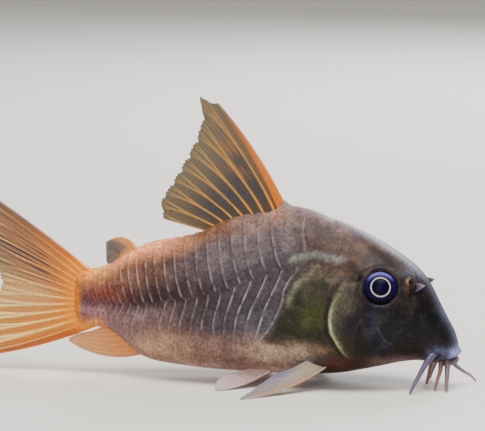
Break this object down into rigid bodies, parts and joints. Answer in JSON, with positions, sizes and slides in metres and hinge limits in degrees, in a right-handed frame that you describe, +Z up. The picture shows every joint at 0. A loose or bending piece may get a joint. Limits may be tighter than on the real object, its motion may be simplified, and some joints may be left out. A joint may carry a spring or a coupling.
{
  "type": "corydoras catfish model",
  "caption": "Still life-size armoured catfish with plated flanks, raised orange dorsal fin and forked tail fin, resting on its paired fins and barbels.",
  "frame": {"origin": "on the ground, under the middle of the fish's bounding box", "axes": "+X along the fish towards its head, +Y towards its left side, +Z up"},
  "size_m": [0.066, 0.0296, 0.0363],
  "materials": {
    "slate_skin": "smooth wet skin over raised scutes, slate and brown with pale scute edges",
    "orange_fin": "thin satin membrane between raised orange rays",
    "pale_fin": "thin satin membrane, pale grey with orange rays",
    "barbel_skin": "soft smooth skin",
    "eye": "glossy, dark blue with a thin gold ring"
  },
  "bodies": {
    "root": {"head": "slate_skin", "gill_cover_right": "slate_skin", "gill_cover_left": "slate_skin", "trunk": "slate_skin", "tail": "slate_skin", "eye_right": "eye", "eye_left": "eye", "dorsal_fin": "orange_fin", "adipose_fin": "pale_fin", "tail_fin": "orange_fin", "anal_fin": "orange_fin", "pectoral_fin_right": "pale_fin", "pectoral_fin_left": "pale_fin", "pelvic_fin_right": "pale_fin", "pelvic_fin_left": "pale_fin", "barbel_upper_right": "barbel_skin", "barbel_upper_left": "barbel_skin", "barbel_lower_right": "barbel_skin", "barbel_lower_left": "barbel_skin", "barbel_chin_right": "barbel_skin", "barbel_chin_left": "barbel_skin"}
  },
  "joints": []
}
